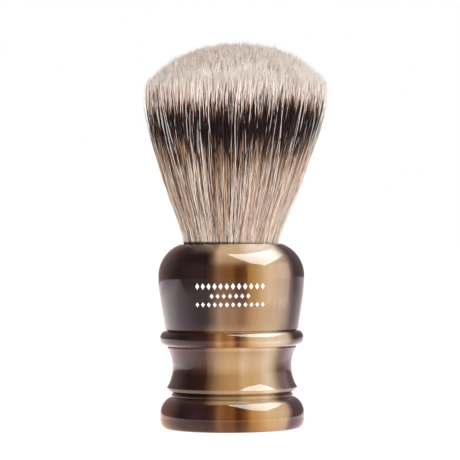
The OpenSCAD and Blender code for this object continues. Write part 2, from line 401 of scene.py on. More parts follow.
    # the turned end of the rod shows the pour as curved bands
    bands = m.math("ADD", m.math("MULTIPLY", fx, 0.045), m.math("MULTIPLY", m.noise(stretched.outputs[0], 1.6, 3.0), 1.5))
    colour = m.mix(m.step(14.5, 9.0, radius), colour,
                   m.ramp(m.math("FRACT", bands),
                          [(t, tuple(c * HORN for c in col)) for t, col in
                           ((0.0, night), (0.18, soot), (0.3, amber), (0.42, tan), (0.55, cream), (0.66, honey), (0.78, streak),
                            (0.9, night))]))
    # painted reflection: the lip, turned up to the light above, is paler in the middle and on the right
    right_lip = m.step(2.0, 22.0, phi)
    lip_z = m.math("SUBTRACT", fz, m.math("MULTIPLY", right_lip, 1.4))
    lip_painted_reflection = m.math("MULTIPLY", m.math("MULTIPLY", m.step(-17.0, -9.0, phi), m.step(54.0, 42.0, phi)), m.step(42.5, 48.8, lip_z))
    colour = m.mix(m.math("MULTIPLY", lip_painted_reflection, m.math("ADD", 0.52, m.math("MULTIPLY", right_lip, 0.16))), colour, m.mix(right_lip, (0.68, 0.48, 0.28), (0.92, 0.82, 0.70)))
    # painted reflection: on its dark left side the lip is veiled in a greyish brown
    lip_dark_side_painted_reflection = m.math("MULTIPLY", m.math("MULTIPLY", m.step(-46.0, -28.0, phi), m.step(-9.0, -18.0, phi)), m.step(46.4, 48.6, fz))
    colour = m.mix(m.math("MULTIPLY", lip_dark_side_painted_reflection, 0.38), colour, (0.14, 0.10, 0.08))
    # painted shade: the lower cove, where less light reaches, is a shade darker and redder on the dark side, and the
    # toe of the foot a shade warmer
    low_cove = m.math("MULTIPLY", m.step(16.5, 14.5, fz), m.step(9.0, 10.5, fz))
    lower_cove_painted_shade = m.ramp(pos, [(at(-30), (0.46, 0.46, 0.54)), (at(-14), (0.66, 0.60, 0.52)), (at(0), (0.79, 0.70, 0.60)), (at(20), (0.90, 0.86, 0.72)),
                          (at(34), (1.0, 1.0, 1.0))])
    colour = m.mix(low_cove, colour, m.mix(1.0, colour, lower_cove_painted_shade, "MULTIPLY"))
    # painted light: a faint pale lift on the right of the lower cove
    glow = m.math("MULTIPLY", m.math("MULTIPLY", m.step(28.0, 40.0, phi), m.step(66.0, 58.0, phi)), 0.1)
    colour = m.mix(m.math("MULTIPLY", low_cove, glow), colour, (0.65, 0.62, 0.62))
    # painted reflection: the bottom of the foot is tinted warmer and darker, most in front, for the shaded floor
    # mirrored there
    toe_painted_reflection = m.mix(m.math("MULTIPLY", m.step(-12.0, -2.0, phi), m.step(30.0, 16.0, phi)), (1.0, 0.93, 0.80), (0.92, 0.86, 0.5))
    colour = m.mix(m.step(4.5, 2.0, fz), colour, m.mix(1.0, colour, toe_painted_reflection, "MULTIPLY"))
    toe = m.math("MULTIPLY", m.math("MULTIPLY", m.step(5.5, 2.5, fz), m.step(-48.0, -66.0, phi)), m.step(-110.0, -90.0, phi))
    colour = m.mix(m.math("MULTIPLY", toe, 0.8), colour, (0.12, 0.05, 0.03))
    # painted light: the wall is paler where it turns in under the ring, against the shade the ring casts there
    under = m.math("MULTIPLY", m.step(21.0, 21.6, fz), m.step(23.0, 22.3, fz))
    colour = m.mix(m.math("MULTIPLY", under, 0.9), colour, m.mix(1.0, m.mix(1.0, colour, (1.22, 1.22, 1.2), "MULTIPLY"), (0.03, 0.027, 0.027), "ADD"))
    # painted light: the flange's rim, and the ring where it turns under, are lightened as if light came through their
    # thin edges
    rim = m.math("MULTIPLY", m.step(9.95, 10.25, fz), m.step(11.15, 10.85, fz))
    colour = m.mix(m.math("MULTIPLY", rim, 0.9), colour, m.mix(1.0, m.mix(1.0, colour, (1.3, 1.3, 1.3), "MULTIPLY"), (0.10, 0.08, 0.07), "ADD"))
    turn = m.math("MULTIPLY", m.step(21.95, 22.25, fz), m.step(24.3, 23.4, fz))
    turn = m.math("MULTIPLY", turn, m.step(48.0, 38.0, phi))
    middle_run = m.math("MULTIPLY", m.step(-20.0, -12.0, phi), m.step(14.0, 3.0, phi))
    ring_turn_painted_light = m.mix(1.0, colour, m.mix(middle_run, (1.28, 1.28, 1.28), (1.75, 1.75, 1.75)), "MULTIPLY")
    colour = m.mix(turn, colour, ring_turn_painted_light)
    # painted light: just under the ring, toward the sides, a little light is added against the ring's shade
    ring_seat_painted_light = m.math("MULTIPLY", m.math("MULTIPLY", m.step(21.95, 22.25, fz), m.step(23.0, 22.5, fz)), m.step(18.0, 40.0, m.math("ABSOLUTE", phi)))
    colour = m.mix(ring_seat_painted_light, colour, m.mix(1.0, colour, (0.07, 0.055, 0.055), "ADD"))
    # painted shade: the small bead above the foot is darker from the front round to the left
    bead_painted_shade = m.math("MULTIPLY", m.math("MULTIPLY", m.step(16.9, 16.6, radius), m.step(8.0, 8.3, fz)), m.step(10.0, 9.6, fz))
    colour = m.mix(m.math("MULTIPLY", bead_painted_shade, m.step(20.0, 4.0, phi)), colour, m.mix(1.0, colour, (0.62, 0.62, 0.62), "MULTIPLY"))
    # the pale side of the head is a shade deeper between the widest point and the lower wall
    shade_band = m.math("MULTIPLY", m.math("MULTIPLY", m.step(41.0, 39.8, fz), m.step(33.0, 36.5, fz)), m.math("MULTIPLY", m.step(28.0, 48.0, phi), m.step(58.0, 52.0, phi)))
    colour = m.mix(shade_band, colour, m.mix(1.0, colour, (0.82, 0.80, 0.78), "MULTIPLY"))
    # striations lighten and darken the pale streaks a little
    shade = m.math("ADD", 1.0, m.math("MULTIPLY", fine, 0.22))
    tint = m.new("ShaderNodeCombineColor")
    for i in range(3):
        m.put(tint.inputs[i], shade)
    colour = m.mix(1.0, colour, tint.outputs[0], "MULTIPLY")
    wear = m.noise(geo, 900.0, 3.0)
    rough = m.math("ADD", 0.05, m.math("MULTIPLY", m.step(0.5, 0.75, wear), 0.04))
    m.surface(colour, rough, IOR=1.5)
    return m.mat


handle, PROF, PROF_N = build_handle()
handle.data.materials.append(horn_material())
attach(handle, "handle")
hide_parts("handle")


def section_at(z):
    """Radius and outward normal of the head's outer wall at a height."""
    i = np.where((PROF[:, 1] > 28) & (PROF[:, 1] < 41) & (PROF[:, 0] > 15))[0]
    k = i[np.argsort(PROF[i, 1])]
    return np.interp(z, PROF[k, 1], PROF[k, 0])


# ---------------------------------------------------------------- printed decoration
def build_print():
    """Three rows of small printed lozenges, thin raised ink that follows the wall."""
    verts, faces = [], []

    def lozenge(phi0, z0, w, h):
        n = 6
        base = len(verts)
        grid = {}
        for lift in (0.028, -0.012):
            for i in range(n + 1):
                for j in range(n + 1):
                    a, b = i / n, j / n
                    dx = (a - b) * w / 2
                    dz = (a + b - 1) * h / 2
                    r = section_at(z0 + dz) + lift
                    ph = phi0 + dx / r
                    grid[(lift, i, j)] = len(verts)
                    verts.append((r * math.sin(ph), -r * math.cos(ph), z0 + dz))
        up, dn = 0.028, -0.012
        for i in range(n):
            for j in range(n):
                q = [grid[(up, i, j)], grid[(up, i + 1, j)], grid[(up, i + 1, j + 1)], grid[(up, i, j + 1)]]
                faces.append(q)
                q = [grid[(dn, i, j)], grid[(dn, i, j + 1)], grid[(dn, i + 1, j + 1)], grid[(dn, i + 1, j)]]
                faces.append(q)
        for i in range(n):
            for s in (0, n):
                a, b = grid[(up, i, s)], grid[(up, i + 1, s)]
                c, d = grid[(dn, i + 1, s)], grid[(dn, i, s)]
                faces.append([a, d, c, b] if s == 0 else [a, b, c, d])
                a, b = grid[(up, s, i)], grid[(up, s, i + 1)]
                c, d = grid[(dn, s, i + 1)], grid[(dn, s, i)]
                faces.append([a, b, c, d] if s == 0 else [a, d, c, b])
        return base

    for z0, count, pitch, w, h in ((38.4, 12, 1.62, 1.15, 1.75), (35.85, 7, 1.62, 1.05, 1.35), (33.6, 12, 1.62, 1.05, 1.35)):
        r = float(section_at(z0))
        for k in range(count):
            lozenge((k - (count - 1) / 2) * pitch / r - 1.2 * DEG, z0, w, h)
    me = bpy.data.meshes.new("printed_lozenges")
    me.from_pydata([tuple(c * MM for c in v) for v in verts], [], faces)
    me.update()
    return link(bpy.data.objects.new("printed_lozenges", me))


def print_material():
    m = Nodes("print")
    tc = m.new("ShaderNodeTexCoord").outputs["Object"]
    n = m.noise(tc, 2600.0, 3.0)
    colour = m.mix(m.step(0.35, 0.7, n), lin(225, 221, 214), lin(246, 243, 238))
    m.surface(colour, m.math("ADD", 0.4, m.math("MULTIPLY", n, 0.25)))
    return m.mat


marks = build_print()
marks.data.materials.append(print_material())
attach(marks, "handle")

# ---------------------------------------------------------------- hair
FREE = 57.0  # longest hair, from rim level to tip, in millimetres, for the colour along it
COLS = 64


def flare(z):
    """Radius of the outside of the knot at a height, carried on past the bloom."""
    h = np.clip(np.asarray(z, float) - RIM_Z, -20, 60)
    knots_h = np.array([-20, -3, 0, 2.2, 5.4, 7.6, 10.8, 13, 15.2, 18.4, 20.6, 22.7, 24.9, 27, 29.2, 31.4, 33.5, 35.7, 37.8, 42, 48, 60])
    knots_r = np.array([11.0, 12.3, 12.72, 13.2, 14.12, 14.95, 16.3, 17.15, 17.95, 19.0, 19.65, 20.35, 21.0, 21.7, 22.25, 22.75, 23.15, 23.6, 23.85, 24.15, 24.4, 24.8])
    return np.interp(h, knots_h, knots_r)


_dr = np.array([0, 5.4, 10.4, 13.4, 15.9, 17.7, 19.6, 20.8, 22.0, 22.9, 23.6, 24.2, 24.6, 25.4])
_dz = np.array([54.55, 54.0, 53.0, 51.9, 50.8, 49.7, 48.5, 47.5, 46.5, 45.8, 45.3, 44.9, 44.5, 44.0])
_er = np.array([25.4, 24.75, 24.65, 24.3, 23.75, 23.0, 22.0, 20.8])
_eh = np.array([36.0, 40.0, 41.5, 43.0, 44.2, 45.2, 46.3, 47.5])


def tip_height(rho):
    """Height of the tip above the rim for a hair at a share rho of the knot's radius."""
    r = rho * 24.75
    return np.interp(r, _dr, _dz)


def lean(z):
    """The knot leans a little to one side."""
    t = np.clip((np.asarray(z) - RIM_Z) / 54.6, 0, 1.1)
    return 2.1 * t


def strands(theta, rho, tip_drop, start_h, rings, width, seedling, drift, clump_t, clump_w, outward, col, shift=0.0, taper=2.2,
            tilt=None, power=1.6, deeper=0.0, higher=0.0):
    """Vertices (n, rings*3 + 1, 3) and lengths along each hair, all in millimetres.
    theta: azimuth at the rim; rho: share of radius; tip_drop: how far the tip stops short; start_h: where it starts above the rim."""
    n = len(theta)
    tip_h = tip_height(rho) - tip_drop
    s = np.linspace(0, 1, rings + 1)[None, :] ** 0.92
    if rings > 8:
        s[:, 1] = 0.055
        s[:, 2:] = np.linspace(0.085, 1, rings - 1)
    h = start_h[:, None] + (tip_h - start_h)[:, None] * s
    z = RIM_Z + h
    r = rho[:, None] * flare(z)
    cap = np.interp(h, _eh, _er)
    r = np.where(h > 36, np.minimum(r, cap * (0.985 + 0.015 * rho[:, None])), r)
    g = np.clip(h / 54.0, 0, 1.1)
    # sideways drift, a slow wave, and gathering into locks
    wave_a = seedling.normal(0, 0.42, (n, 1))
    wave_p = seedling.uniform(0, 2 * math.pi, (n, 1))
    wave_f = seedling.uniform(0.7, 2.2, (n, 1))
    side = drift[:, None] * g + wave_a * g * np.sin(wave_p + wave_f * 2 * math.pi * g)
    side = side + seedling.normal(0, 0.13, (n, 1)) * np.sqrt(g) * np.sin(wave_p * 3 + seedling.uniform(2.5, 5, (n, 1)) * 2 * math.pi * g)
    gather = clump_w[:, None] * np.sin(np.clip((h + 2) / 56.0, 0, 1) * math.pi) ** 0.8
    side = side + gather * clump_t[:, None] * r
    if tilt is not None:  # lean of the last stretch, sideways and outward
        side = side + tilt[0][:, None] * s ** 1.4
        r = r + tilt[1][:, None] * s ** 1.4 + tilt[2][:, None] * (s ** 1.2 - 1)
    th = theta[:, None] + side / np.maximum(r, 3.0)
    dive = seedling.normal(0, 0.34, (n, 1)) * np.sin(seedling.uniform(0, 6.28, (n, 1)) + seedling.uniform(3, 9, (n, 1)) * g)
    r = r + outward[:, None] * g ** power + dive * np.sqrt(g) * smooth(0, 5, h)
    p = np.stack([r * np.cos(th) + lean(z), r * np.sin(th), z], 2)
    t = np.gradient(p, axis=1)
    t /= np.linalg.norm(t, axis=2)[:, :, None]
    radial = np.stack([np.cos(th), np.sin(th), np.zeros_like(th)], 2)
    b = np.cross(t, radial)
    b /= np.linalg.norm(b, axis=2)[:, :, None]
    nn = np.cross(b, t)
    seg = np.linalg.norm(np.diff(p, axis=1), axis=2)
    d = np.concatenate([np.cumsum(seg[:, ::-1], axis=1)[:, ::-1], np.zeros((n, 1))], 1)  # distance from the tip
    w = width[:, None] * (1 - np.exp(-(d + 0.12) / taper)) * (1 - 0.35 * smooth(24, 50, d))
    a0 = seedling.uniform(0, 2 * math.pi, (n, 1))
    ringsv = []
    for k in range(3):
        a = a0 + k * 2 * math.pi / 3
        ringsv.append(p[:, :-1] + w[:, :-1, None] * (np.cos(a)[:, :, None] * nn[:, :-1] + np.sin(a)[:, :, None] * b[:, :-1]))
    v = np.stack(ringsv, 2).reshape(n, rings * 3, 3)
    v = np.concatenate([v, p[:, -1:, :]], 1)
    dc = d + np.reshape(shift, (-1, 1)) * (1 - smooth(44, 53, d))
    if rings > 8:  # painted light: the dark band is narrower toward the sides, for the light from behind at the outline
        dc = dc + np.cos(theta)[:, None] ** 2 * (3.9 - 0.3 * np.cos(theta)[:, None]) * smooth(9, 17, d) * (1 - smooth(38, 52, d))
        dc = dc + np.reshape(higher, (-1, 1)) * smooth(0.5, 4.0, d) * (1 - smooth(9, 17, d))
        dc = dc - np.reshape(deeper, (-1, 1)) * smooth(10, 18, d) * (1 - smooth(30, 44, d))
    vcoord = 1 - dc / FREE
    # painted shadow at the roots: the first rings take the dark root colour, less so on the lit right side
    if rings > 8:
        lit = np.clip((np.cos(theta) + 0.75) / 1.6, 0, 1)
        vcoord[:, 0], vcoord[:, 1] = 0.002 + 0.030 * lit, 0.008 + 0.042 * lit
    return v, vcoord, col


def strand_mesh(name, v, vcoord, col, rings):
    n, per = v.shape[0], v.shape[1]
    tri, cu, cv = [], [], []
    us = (0.2, 0.5, 0.8)
    for i in range(rings - 1):
        for k in range(3):
            k2 = (k + 1) % 3
            a, b, c, d = i * 3 + k, i * 3 + k2, (i + 1) * 3 + k2, (i + 1) * 3 + k
            tri += [(a, b, c), (a, c, d)]
            cu += [(us[k], us[k2], us[k2]), (us[k], us[k2], us[k])]
            cv += [(i, i, i + 1), (i, i + 1, i + 1)]
    last = (rings - 1) * 3
    for k in range(3):
        k2 = (k + 1) % 3
        tri.append((last + k, last + k2, rings * 3))
        cu.append((us[k], us[k2], 0.5))
        cv.append((rings - 1, rings - 1, rings))
    tri.append((2, 1, 0))
    cu.append((0.8, 0.5, 0.2))
    cv.append((0, 0, 0))
    tri, cu, cv = np.array(tri), np.array(cu), np.array(cv)
    faces = (tri[None] + (np.arange(n) * per)[:, None, None]).reshape(-1, 3)
    me = mesh_from(name, v.reshape(-1, 3) * MM, faces)
    u = (col[:, None, None] + cu[None]) / COLS
    vv = vcoord[:, cv.ravel()].reshape(n, *cv.shape)
    uv = np.stack([u.ravel(), np.clip(vv.ravel(), 0.002, 0.998)], 1)
    layer = me.uv_layers.new(name="OFBake")
    layer.data.foreach_set("uv", uv.astype(np.float32).ravel())
    return me


def hair_material():
    """Badger hair. u picks one of 64 hairs' worth of colour, v runs from root to tip: beige shaft, dark band, pale tip."""
    m = Nodes("badger_hair")
    uv = m.new("ShaderNodeUVMap")
    uv.uv_map = "OFBake"
    sep = m.new("ShaderNodeSeparateXYZ")
    m.put(sep.inputs[0], uv.outputs[0])
    col = m.math("FLOOR", m.math("MULTIPLY", sep.outputs[0], COLS))
    d = m.math("MULTIPLY", m.math("SUBTRACT", 1.0, sep.outputs[1]), FREE)
    r1 = m.random(m.math("ADD", m.math("MULTIPLY", col, 3.17), 0.31))
    r2 = m.random(m.math("ADD", m.math("MULTIPLY", col, 5.71), 11.3))
    r3 = m.random(m.math("ADD", m.math("MULTIPLY", col, 2.39), 23.7))
    r4 = m.random(m.math("ADD", m.math("MULTIPLY", col, 7.13), 41.9))
    up = m.math("ADD", 6.3, m.math("MULTIPLY", r1, 2.7))
    low = m.math("ADD", 14.9, m.math("ADD", m.math("MULTIPLY", r2, 6.5), m.math("MULTIPLY", m.math("POWER", r4, 4.0), 9.0)))
    tone = m.math("DIVIDE", m.math("SUBTRACT", col, 4.0), 54.0, clamp=True)
    tip = m.ramp(m.math("ADD", m.math("MULTIPLY", r3, 0.4), m.math("MULTIPLY", tone, 0.6)),
                 [(0.05, lin(190, 166, 148)), (0.3, lin(229, 211, 197)), (0.52, lin(252, 241, 231)), (0.85, lin(255, 251, 245)),
                  (1.0, lin(251, 238, 226))])
    shaft = m.ramp(tone, [(0.0, lin(46, 31, 25)), (0.2, lin(98, 69, 50)), (0.42, lin(163, 128, 98)), (0.65, lin(216, 193, 170)),
                          (1.0, lin(252, 247, 240))])
    shaft = m.mix(m.math("MULTIPLY", m.math("GREATER_THAN", r3, 0.68), 0.5), shaft, lin(208, 156, 100))
    shaft_deep = m.mix(m.step(22.0, 38.0, d), m.mix(0.15, shaft, lin(180, 134, 98)), m.mix(0.27, shaft, lin(240, 225, 207)))
    brown = m.mix(r2, lin(168, 108, 62), lin(118, 76, 48))
    dark = m.mix(r4, lin(25, 17, 21), lin(43, 31, 33))
    low_brown = m.mix(r1, lin(110, 84, 66), lin(150, 118, 90))
    c = m.mix(m.step(m.math("SUBTRACT", up, 1.2), m.math("ADD", up, 0.2), d), tip, brown)
    c = m.mix(m.step(m.math("ADD", up, 0.1), m.math("ADD", up, 1.9), d), c, dark)
    c = m.mix(m.step(m.math("SUBTRACT", low, 1.6), m.math("ADD", low, 0.8), d), c, low_brown)
    c = m.mix(m.step(low, m.math("ADD", low, 3.4), d), c, shaft_deep)
    # hairs with no band, and hairs that stay dark far down
    pale = m.mix(m.step(6.0, 30.0, d), tip, m.mix(0.5, tip, shaft))
    c = m.mix(m.math("GREATER_THAN", col, COLS - 5.5), c, pale)
    long_dark = m.mix(m.step(m.math("ADD", low, 8.0), m.math("ADD", low, 16.0), d), c, shaft)
    gone = m.mix(m.step(m.math("ADD", up, 2.0), m.math("ADD", up, 3.0), d), c,
                 m.mix(m.step(m.math("ADD", low, 7.0), m.math("ADD", low, 15.0), d), lin(62, 46, 42), shaft))
    c = m.mix(m.math("LESS_THAN", col, 3.5), c, gone)
    # painted light: the hairs on the right side are paler below the band, for the stronger light there
    place = m.new("ShaderNodeSeparateXYZ")
    m.put(place.inputs[0], m.new("ShaderNodeTexCoord").outputs["Object"])
    right_side_painted_light = m.math("MULTIPLY", m.step(-0.001, 0.007, place.outputs[0]), m.step(19.0, 30.0, d))
    c = m.mix(m.math("MULTIPLY", right_side_painted_light, 0.26), c, lin(238, 218, 198))
    # the shade where the hair comes out of the handle
    c = m.mix(m.math("MULTIPLY", m.step(53.6, 56.4, d), 0.95), c, lin(44, 32, 27))
    # faint mottling along the hair
    vec = m.new("ShaderNodeCombineXYZ")
    m.put(vec.inputs[0], m.math("MULTIPLY", col, 3.7))
    m.put(vec.inputs[1], m.math("MULTIPLY", d, 0.6))
    mott = m.math("ADD", 0.86, m.math("MULTIPLY", m.noise(vec.outputs[0], 1.0, 2.0), 0.28))
    tint = m.new("ShaderNodeCombineColor")
    for i in range(3):
        m.put(tint.inputs[i], mott)
    c = m.mix(1.0, c, tint.outputs[0], "MULTIPLY")
    p = m.surface(c, 0.5, IOR=1.5)
    p.inputs["Specular IOR Level"].default_value = 0.35
    return m.mat


HAIR = hair_material()


def core_material():
    """The mass of hair under the outer layer, seen only as the shade between hairs; its colours run darker than the
    hair's, painted shade for those gaps.
    """
    m = Nodes("hair_mass")
    tc = m.new("ShaderNodeTexCoord").outputs["Object"]
    sep = m.new("ShaderNodeSeparateXYZ")
    m.put(sep.inputs[0], tc)
    fz = m.math("MULTIPLY", sep.outputs[2], 1000)
    vec = m.new("ShaderNodeCombineXYZ")
    m.put(vec.inputs[0], m.math("MULTIPLY", sep.outputs[0], 2600))
    m.put(vec.inputs[1], m.math("MULTIPLY", sep.outputs[1], 2600))
    m.put(vec.inputs[2], m.math("MULTIPLY", sep.outputs[2], 90))
    n = m.noise(vec.outputs[0], 1.0, 3.0, 0.6)
    zz = m.math("ADD", fz, m.math("MULTIPLY", m.math("SUBTRACT", n, 0.5), 9.0))
    c = m.ramp(m.math("DIVIDE", m.math("SUBTRACT", zz, 45.0), 60.0),
               [(0.0, lin(92, 66, 52)), (0.42, lin(84, 60, 48)), (0.52, lin(48, 34, 32)), (0.66, lin(30, 22, 24)),
                (0.73, lin(70, 50, 42)), (0.80, lin(206, 188, 172)), (1.0, lin(216, 200, 186))])
    shade = m.mix(m.step(0.3, 0.75, n), lin(120, 112, 106), lin(235, 232, 228))
    c = m.mix(1.0, c, shade, "MULTIPLY")
    m.surface(c, 0.8)
    return m.mat


def finish_hair(obj, mat):
    obj.data.materials.clear()
    obj.data.materials.append(mat)
    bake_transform(obj)
    return obj


def build_core():
    """A closed, ribbed body of hair from the roots in the socket to just under the tips."""
    share = 0.9
    rows = []
    rows.append((0.0, 32.74))
    for r, z in ((10.4, 32.74), (10.8, 33.2), (10.8, 39.5), (10.5, 40.1), (10.5, 43.6), (11.0, 44.8), (11.6, 46.6)):
        rows.append((r, z))
    for z in np.arange(48.5, 86.1, 1.0):
        rows.append((float(flare(z)) * share, z))
    top = [(rho, RIM_Z + float(tip_height(np.array(rho))) - 6.0) for rho in np.linspace(0.9, 0.02, 26)]
    for rho, z in top:
        rows.append((float(flare(z)) * rho, z))
    rows.append((0.0, top[-1][1] + 0.02))
    sec = np.array(rows)
    seg = 240
    ang = np.arange(seg) * 2 * math.pi / seg
    rib = 1 + 0.010 * np.sin(ang * 37 + 1.0) + 0.008 * np.sin(ang * 71 + 2.0) + 0.006 * RNG.normal(size=seg)
    inner = sec[1:-1]
    amount = smooth(49, 56, inner[:, 1])[:, None]
    rr = inner[:, None, 0] * (1 + (rib - 1)[None] * amount)
    zz = np.repeat(inner[:, None, 1], seg, 1)
    v = np.stack([rr * np.cos(ang) + lean(zz), rr * np.sin(ang), zz], 2).reshape(-1, 3)
    verts = np.concatenate([[[0, 0, sec[0, 1]]], v, [[float(lean(sec[-1, 1])), 0, sec[-1, 1]]]]) * MM
    m = len(inner)
    i = np.repeat(np.arange(m - 1), seg)
    j = np.tile(np.arange(seg), m - 1)
    j2 = (j + 1) % seg
    quads = np.stack([1 + i * seg + j, 1 + i * seg + j2, 1 + (i + 1) * seg + j2, 1 + (i + 1) * seg + j], 1)
    js = np.arange(seg)
    bottom = np.stack([np.zeros(seg, int), 1 + (js + 1) % seg, 1 + js], 1)
    tb = 1 + (m - 1) * seg
    top_f = np.stack([np.full(seg, 1 + m * seg), tb + js, tb + (js + 1) % seg], 1)
    loops = np.concatenate([quads.ravel(), bottom.ravel(), top_f.ravel()])
    starts = np.concatenate([np.arange(len(quads)) * 4, len(quads) * 4 + np.arange(2 * seg) * 3])
    return link(bpy.data.objects.new("hair_mass", mesh_from("hair_mass", verts, loops=loops, starts=starts)))


core = build_core()
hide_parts("hair_roots", "hair_loft")
finish_hair(core, core_material())


def pick_columns(rng, n, light=0.0, pale=0.045, darkrun=0.05, tuft=0.0, spread=0.0):
    """Column of colour for each hair; light moves the choice toward the paler shafts, tuft shifts it hair by hair."""
    t = rng.random(n)
    odd = rng.choice([-0.48, 0.0, 0.2], n, p=[spread, 1 - 2.4 * spread, 1.4 * spread])
    q = np.clip(rng.beta(1.5 + 2.2 * max(0.0, light), 1.5 + 2.2 * max(0.0, -light), n) + tuft + odd, 0, 1)
    col = np.floor(4 + q * 54.99)
    pale = np.broadcast_to(pale, (n,))
    col[t < pale] = rng.integers(COLS - 5, COLS, int((t < pale).sum()))
    k = (t >= pale) & (t < pale + darkrun)
    col[k] = rng.integers(0, 4, int(k.sum()))
    return col


class Locks:
    """Uneven locks round the knot, each with its own depth and its own place of the dark band."""

    def __init__(self, seed, count):
        rng = np.random.default_rng(seed)
        gap = rng.uniform(0.45, 1.7, count)
        self.centre = np.cumsum(gap) / gap.sum() * 2 * math.pi
        self.depth = rng.normal(0, 0.42, count)
        self.shift = rng.normal(0, 0.95, count)
        self.drift = rng.normal(0, 0.9, count)
        self.deeper = np.where(rng.random(count) < 0.16, rng.uniform(2.0, 6.5, count), np.abs(rng.normal(0, 0.6, count)))

    def of(self, theta):
        d = (self.centre[None, :] - theta[:, None] + math.pi) % (2 * math.pi) - math.pi
        i = np.argmin(np.abs(d), axis=1)
        return d[np.arange(len(theta)), i], i


def layer(name, seed, n, rho, lock, gather, width, wild, light, lift=0.0, pale=0.045, darkrun=0.05, drop=0.9, rings=14):
    """One layer of full-length hairs."""
    rng = np.random.default_rng(seed)
    theta = rng.uniform(0, 2 * math.pi, n)
    share = rng.uniform(*rho, n)
    ct, ci = lock.of(theta)
    # thin tufts inside a lock: the hairs of one share their shade and their way
    tufts = 300
    tuft = (np.floor(theta / (2 * math.pi) * tufts + rng.normal(0, 0.2, n)).astype(int)) % tufts
    shade, way, out = rng.normal(0, 0.33, tufts), rng.normal(0, 1.5, tufts), rng.normal(0, 0.22, tufts)
    high = np.where(rng.random(tufts) < 0.13, rng.uniform(1.0, 3.8, tufts), 0)
    drift = lock.drift[ci] + way[tuft] + rng.normal(0, 0.75, n)
    loose = rng.random(n) < wild
    drift[loose] += rng.normal(0, 5.2, loose.sum())
    g = np.clip(rng.normal(gather, 0.18, n), 0, 0.92)
    g[loose] *= 0.3
    edge = np.cos(theta)
    # painted light and shade: toward the sides more hairs are pale and band-less, most on the right, and hairs are
    # picked paler on the right, a little paler front and back, a little darker on the left
    cols = pick_columns(rng, n, light, pale * (1 + np.where(edge > 0, 8.5, 1.2) * edge ** 4), darkrun, shade[tuft] - 0.02 * np.maximum(0, -edge) + 0.16 * smooth(0.1, 0.45, edge) + 0.04 * (1 - smooth(0.2, 0.5, np.abs(edge))), 0.29)
    w = rng.uniform(*width, n) * np.where(cols >= COLS - 5, 0.66, 1.0)
    v, vc, col = strands(
        theta, share, np.abs(rng.normal(0, drop, n)), np.full(n, -2.0), rings, w, rng,
        drift, ct, g, lock.depth[ci] + out[tuft] + rng.normal(0, 0.12, n) + lift, cols,
        lock.shift[ci] + rng.normal(0, 1.05, n) + edge ** 2 * (1.3 - 0.6 * edge), deeper=lock.deeper[ci], higher=high[tuft])
    finish_hair(link(bpy.data.objects.new(name, strand_mesh(name, v, vc, col, rings))), HAIR)


front, middle = Locks(11, 74), Locks(12, 92)
layer("inner_hair", 101, 1200, (0.86, 0.93), middle, 0.2, (0.075, 0.1), 0.05, -0.8, pale=0.01, darkrun=0.25)
layer("outer_hair_1", 102, 1300, (0.91, 0.965), middle, 0.5, (0.07, 0.105), 0.35, -0.3, pale=0.015, darkrun=0.16, rings=18)
layer("outer_hair_2", 103, 1200, (0.945, 0.995), front, 0.55, (0.07, 0.105), 0.4, -0.15, pale=0.02, darkrun=0.17, rings=18)
layer("guard_hair", 104, 1200, (0.965, 1.0), front, 0.4, (0.07, 0.11), 0.5, 0.6, pale=0.03, darkrun=0.14, rings=18)

# the crown: the upper ends of the hairs inside, in small uneven tufts
_t = np.random.default_rng(190)
TUFT_DROP, TUFT_WAY, TUFT_OUT, TUFT_SHADE = (_t.normal(0, k, 4096) for k in (0.32, 1.2, 0.36, 0.3))


def clump_of(x, y):
    """Which tuft a hair of the crown belongs to, from its place at the tip."""
    u, w = x + 0.7 * np.sin(y * 1.1) + 0.4 * np.sin(x * 2.3), y + 0.7 * np.sin(x * 1.3 + 1.0)
    return (np.floor(u / 1.25).astype(int) * 61 + np.floor(w / 1.25).astype(int) * 977) % 4096


crown_n, crown_rings, groups = 30000, 4, 4
for g in range(groups):
    rng = np.random.default_rng(200 + g)
    n = crown_n // groups
    theta = rng.uniform(0, 2 * math.pi, n)
    rho = np.sqrt(rng.random(n)) * 0.965
    tip_h = tip_height(rho)
    clump = clump_of(rho * 24.75 * np.cos(theta), rho * 24.75 * np.sin(theta))
    # painted shade: the crown's hairs are picked darker toward its middle and on its left side
    v, vc, col = strands(
        theta, rho, TUFT_DROP[clump] + rng.normal(0.35, 0.35, n), tip_h - 9.0, crown_rings, rng.uniform(0.055, 0.08, n), rng,
        rng.normal(0, 0.6, n), np.zeros(n), np.zeros(n), rng.normal(0, 0.25, n),
        pick_columns(rng, n, 0.5, np.interp(rho, [0.6, 0.95], [0.12, 0.2]), 0.0, TUFT_SHADE[clump] * np.interp(rho, [0.7, 0.93], [0.4, 1]) - 0.22 * rho * np.maximum(0, -np.cos(theta))
                     + np.interp(rho, [0, 0.5, 0.74, 0.86, 0.94, 1], [-0.64, -0.60, -0.52, -0.40, -0.08, 0.14])),
        rng.normal(-0.5, 1.0, n), taper=1.5,
        tilt=(TUFT_WAY[clump] + rng.normal(0, 0.55, n), TUFT_OUT[clump] + rng.normal(-0.1, 0.3, n), 2.6 * rho))
    finish_hair(link(bpy.data.objects.new(f"crown_hair_{g + 1}", strand_mesh(f"crown_hair_{g + 1}", v, vc, col, crown_rings))), HAIR)

# a few stray hairs that stand off the side
rng = np.random.default_rng(300)
n = 420
theta = rng.uniform(0, 2 * math.pi, n)
